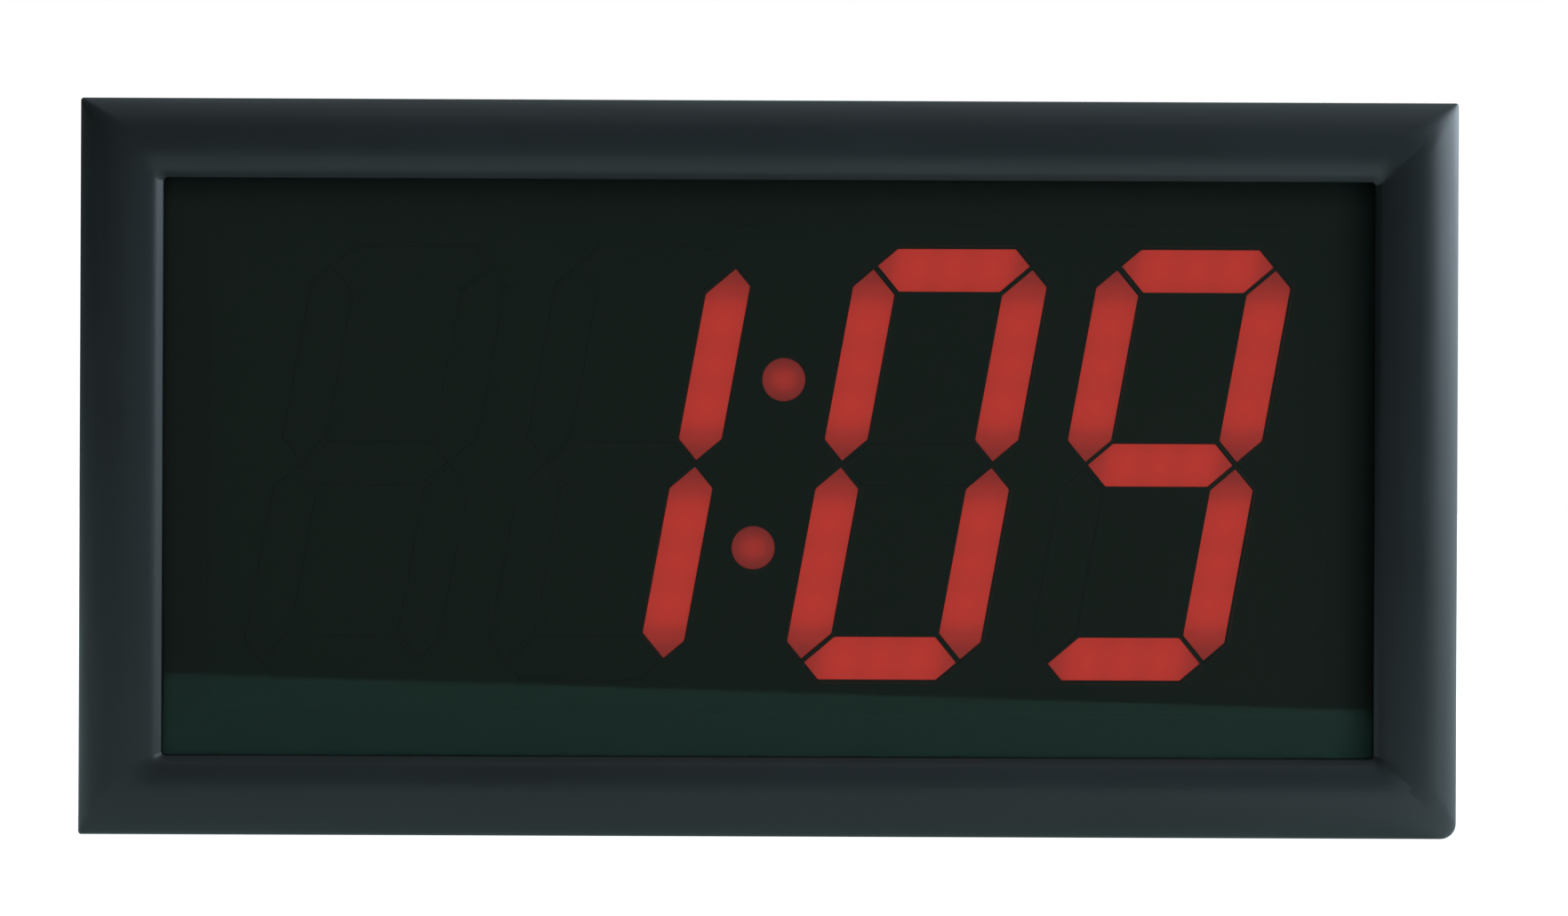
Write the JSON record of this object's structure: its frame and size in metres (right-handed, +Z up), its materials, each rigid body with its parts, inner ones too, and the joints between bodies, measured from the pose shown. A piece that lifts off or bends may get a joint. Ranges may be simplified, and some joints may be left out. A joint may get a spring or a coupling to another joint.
{
  "type": "gym round timer",
  "caption": "Wall and shelf LED round timer: slanted seven-segment digits and a colon behind a smoked window in a convex black picture-frame bezel, with side controls.",
  "frame": {"origin": "bottom middle of the bounding box, on the surface the timer stands on", "axes": "+X to the viewer's right along the display, +Y from the front to the back, +Z up"},
  "size_m": [0.323, 0.056, 0.1725],
  "materials": {
    "black_abs": "satin moulded",
    "smoked_acrylic": "polished, dark green smoked",
    "black_foam": "matt closed-cell foam",
    "mask_green": "matt",
    "diffuser_red": "translucent, lit where a segment is on",
    "white_abs": "matt white",
    "board_green": "solder resist over glass-epoxy board",
    "black_nylon": "fine texture",
    "grey_abs": "fine texture",
    "button_red": "satin",
    "zinc_steel": "zinc plated",
    "speaker_paper": "matt treated paper",
    "ferrite": "matt ceramic magnet with steel plates",
    "black_rubber": "matt",
    "lead_black": "matt insulation",
    "ribbon_grey": "matt insulation"
  },
  "bodies": {
    "housing": {"board_screw_1": "zinc_steel", "board_screw_2": "zinc_steel", "board_screw_3": "zinc_steel", "board_screw_4": "zinc_steel", "case_screw_1": "zinc_steel", "case_screw_2": "zinc_steel", "case_screw_3": "zinc_steel", "case_screw_4": "zinc_steel", "case_screw_5": "zinc_steel", "case_screw_6": "zinc_steel", "colon_diffuser": "diffuser_red", "colon_reflector": "white_abs", "control_board": "board_green", "control_lead": "lead_black", "dc_jack": "black_nylon", "digit_diffuser_1": "diffuser_red", "digit_diffuser_2": "diffuser_red", "digit_diffuser_3": "diffuser_red", "digit_diffuser_4": "diffuser_red", "digit_reflector_1": "white_abs", "digit_reflector_2": "white_abs", "digit_reflector_3": "white_abs", "digit_reflector_4": "white_abs", "display_board": "board_green", "display_mask": "mask_green", "front_bezel": "black_abs", "lens_gasket": "black_foam", "main_board": "board_green", "main_board_screw_1": "zinc_steel", "main_board_screw_2": "zinc_steel", "mask_screw_1": "zinc_steel", "mask_screw_2": "zinc_steel", "mask_screw_3": "zinc_steel", "mask_screw_4": "zinc_steel", "power_lead": "lead_black", "power_switch_body": "black_nylon", "rear_case": "black_abs", "reset_switch": "black_nylon", "rest_length_switch": "zinc_steel", "ribbon_cable": "ribbon_grey", "round_length_switch": "zinc_steel", "rubber_foot_1": "black_rubber", "rubber_foot_2": "black_rubber", "speaker_basket": "zinc_steel", "speaker_cone": "speaker_paper", "speaker_lead": "lead_black", "speaker_magnet": "ferrite", "start_switch": "black_nylon", "volume_pot": "black_nylon", "window_lens": "smoked_acrylic"},
    "start_button": {"start_button": "button_red"},
    "reset_button": {"reset_button": "grey_abs"},
    "round_length_slider": {"round_length_slider": "grey_abs"},
    "rest_length_slider": {"rest_length_slider": "grey_abs"},
    "volume_wheel": {"volume_wheel": "black_nylon"},
    "power_rocker": {"power_rocker": "black_nylon"}
  },
  "joints": [
    {"name": "start_button_press", "type": "slide", "parent": "housing", "child": "start_button", "axis": [-1, 0, 0], "range_m": [0, 0.0012], "stiffness_N_per_m": 600, "springref_m": -0.001},
    {"name": "reset_button_press", "type": "slide", "parent": "housing", "child": "reset_button", "axis": [-1, 0, 0], "range_m": [0, 0.0012], "stiffness_N_per_m": 600, "springref_m": -0.001},
    {"name": "round_length_slide", "type": "slide", "parent": "housing", "child": "round_length_slider", "axis": [0, 0, 1], "range_m": [0, 0.004]},
    {"name": "rest_length_slide", "type": "slide", "parent": "housing", "child": "rest_length_slider", "axis": [0, 0, 1], "range_m": [0, 0.004]},
    {"name": "volume_turn", "type": "hinge", "parent": "housing", "child": "volume_wheel", "pos_m": [0.151, 0.012, 0.06225], "axis": [0, 1, 0], "range_deg": [-135, 135]},
    {"name": "power_rock", "type": "hinge", "parent": "housing", "child": "power_rocker", "pos_m": [0.155, 0.012, 0.03225], "axis": [0, 1, 0], "range_deg": [-18, 0]}
  ]
}
